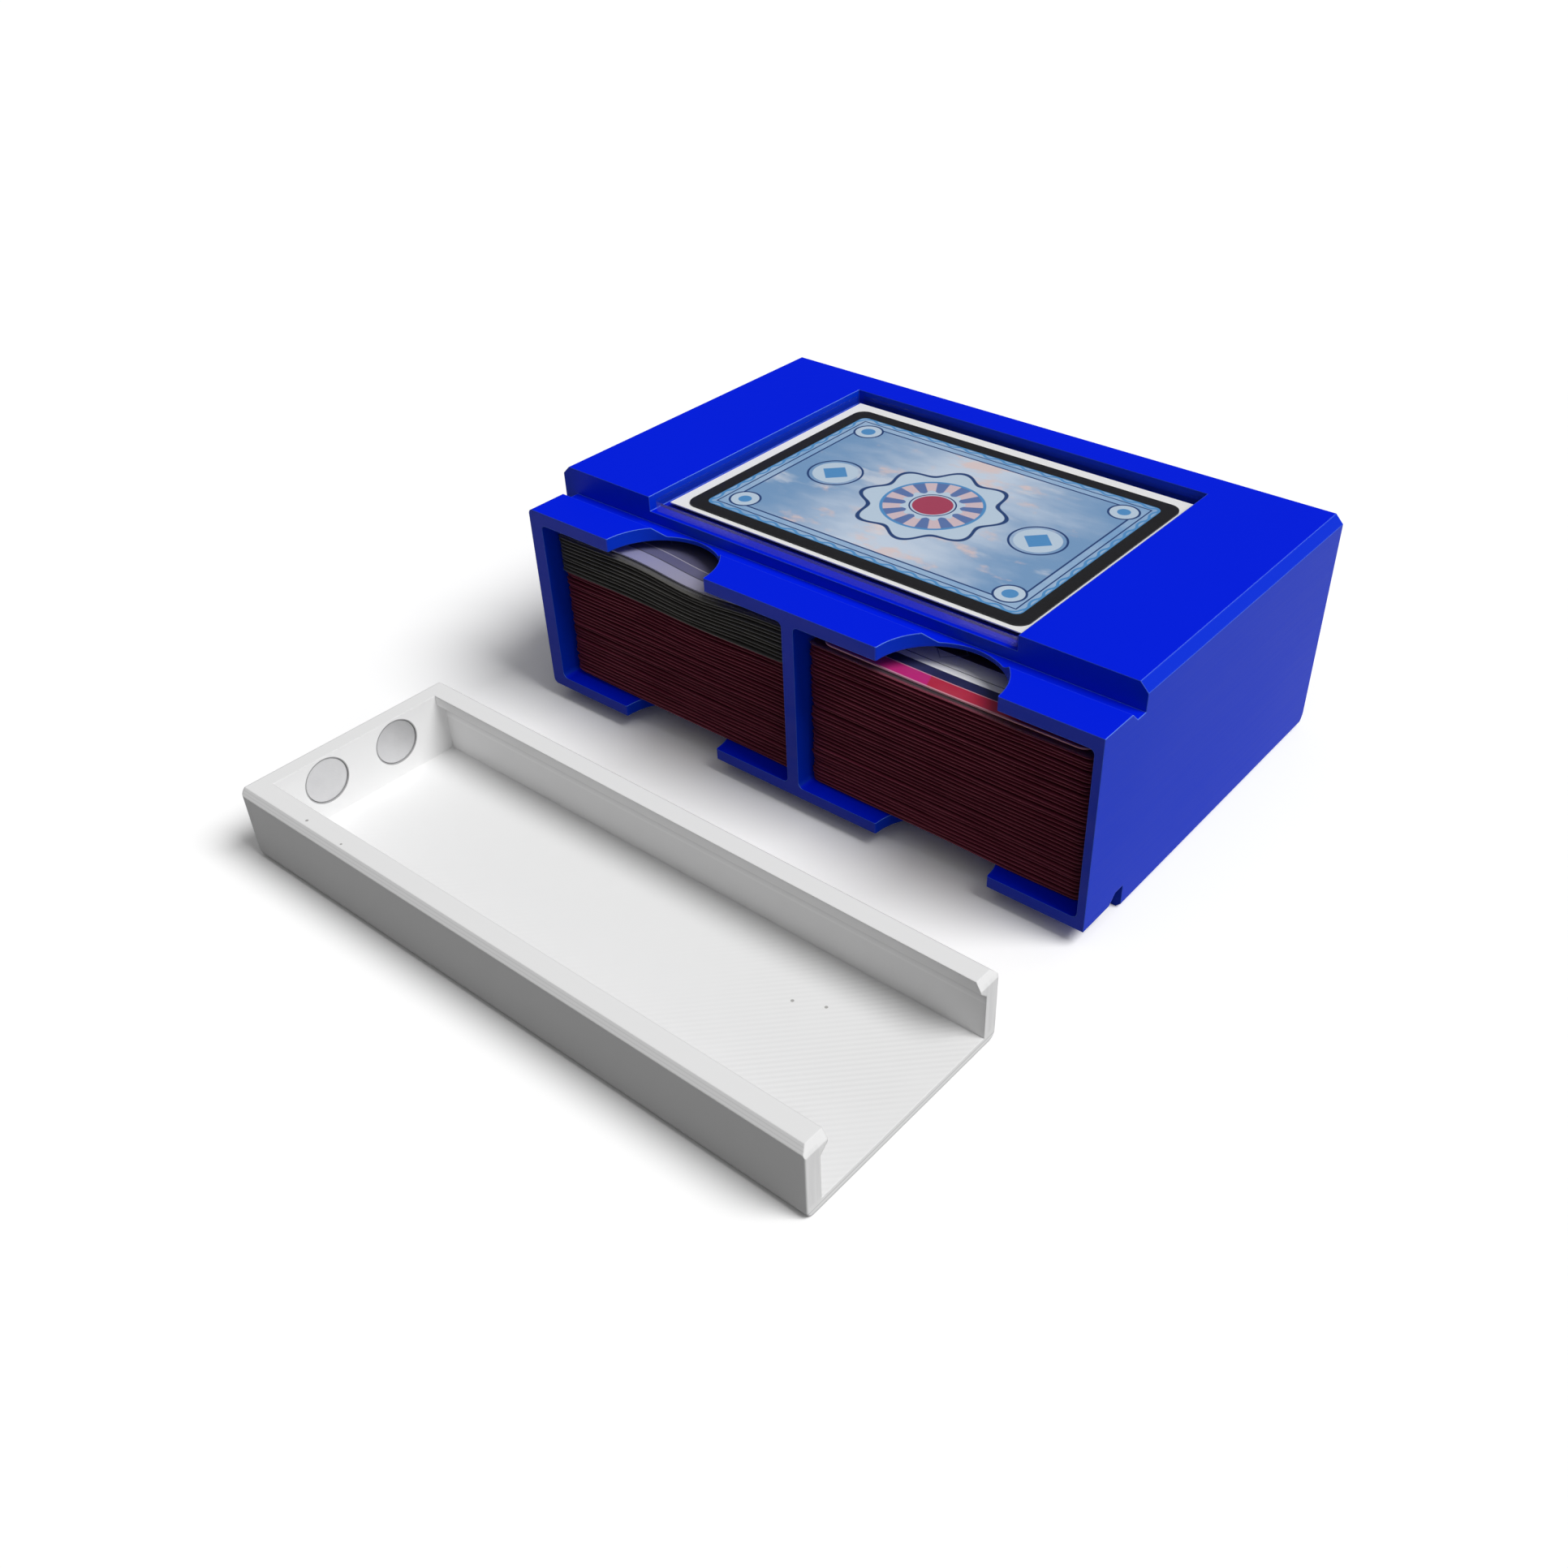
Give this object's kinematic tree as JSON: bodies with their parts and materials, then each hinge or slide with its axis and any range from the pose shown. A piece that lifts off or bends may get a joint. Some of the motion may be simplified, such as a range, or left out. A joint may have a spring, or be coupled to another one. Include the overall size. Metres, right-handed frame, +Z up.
{
  "type": "two-bay card case with slide-on cover",
  "caption": "Printed case with two open bays of sleeved cards, a clear card holder in its top and a grooved slide-on cover with magnets, shown taken off.",
  "frame": {"origin": "centre of the case's outline, on the surface that it stands on", "axes": "+X right along the front, +Y to the back of the case, +Z up"},
  "size_m": [0.1507, 0.1789, 0.0524],
  "materials": {
    "blue_print": "fused filament print, fine layer lines, satin",
    "white_print": "fused filament print, fine layer lines, satin",
    "magnet_plating": "nickel plated disc, fine turning marks",
    "clear_holder": "clear rigid plastic sheet",
    "white_insert": "smooth white card stock",
    "display_print": null,
    "red_sleeves": "dark red matte sleeves with pale worn edges",
    "dark_sleeves": "charcoal matte sleeves with pale worn edges",
    "clear_sleeve": "clear soft film",
    "card_face": "printed card in plain bands"
  },
  "bodies": {
    "case": {"case_magnet_lower": "magnet_plating", "case_magnet_upper": "magnet_plating", "case_shell": "blue_print"},
    "cover": {"cover_magnet_far": "magnet_plating", "cover_magnet_near": "magnet_plating", "cover_shell": "white_print"},
    "card_holder": {"holder_back_tray": "clear_holder", "holder_backing_insert": "white_insert", "holder_front_sheet": "clear_holder", "display_card": "display_print"},
    "left_deck": {"left_dark_cards_1": "dark_sleeves", "left_dark_cards_2": "dark_sleeves", "left_deck_top_card": "card_face", "left_deck_top_sleeve": "clear_sleeve", "left_red_cards_1": "red_sleeves", "left_red_cards_2": "red_sleeves", "left_red_cards_3": "red_sleeves", "left_red_cards_4": "red_sleeves"},
    "right_deck": {"right_deck_top_card": "card_face", "right_deck_top_sleeve": "clear_sleeve", "right_red_cards_1": "red_sleeves", "right_red_cards_2": "red_sleeves", "right_red_cards_3": "red_sleeves", "right_red_cards_4": "red_sleeves", "right_red_cards_5": "red_sleeves"}
  },
  "joints": [
    {"name": "cover_slide", "type": "slide", "parent": "case", "child": "cover", "axis": [-0.9999, 0.014, 0], "range_m": [0, 0.15]},
    {"name": "card_holder_slide", "type": "slide", "parent": "case", "child": "card_holder", "axis": [0, -1, 0], "range_m": [0, 0.074]},
    {"name": "left_deck_slide", "type": "slide", "parent": "case", "child": "left_deck", "axis": [0, -1, 0], "range_m": [0, 0.028]},
    {"name": "right_deck_slide", "type": "slide", "parent": "case", "child": "right_deck", "axis": [0, -1, 0], "range_m": [0, 0.028]}
  ]
}
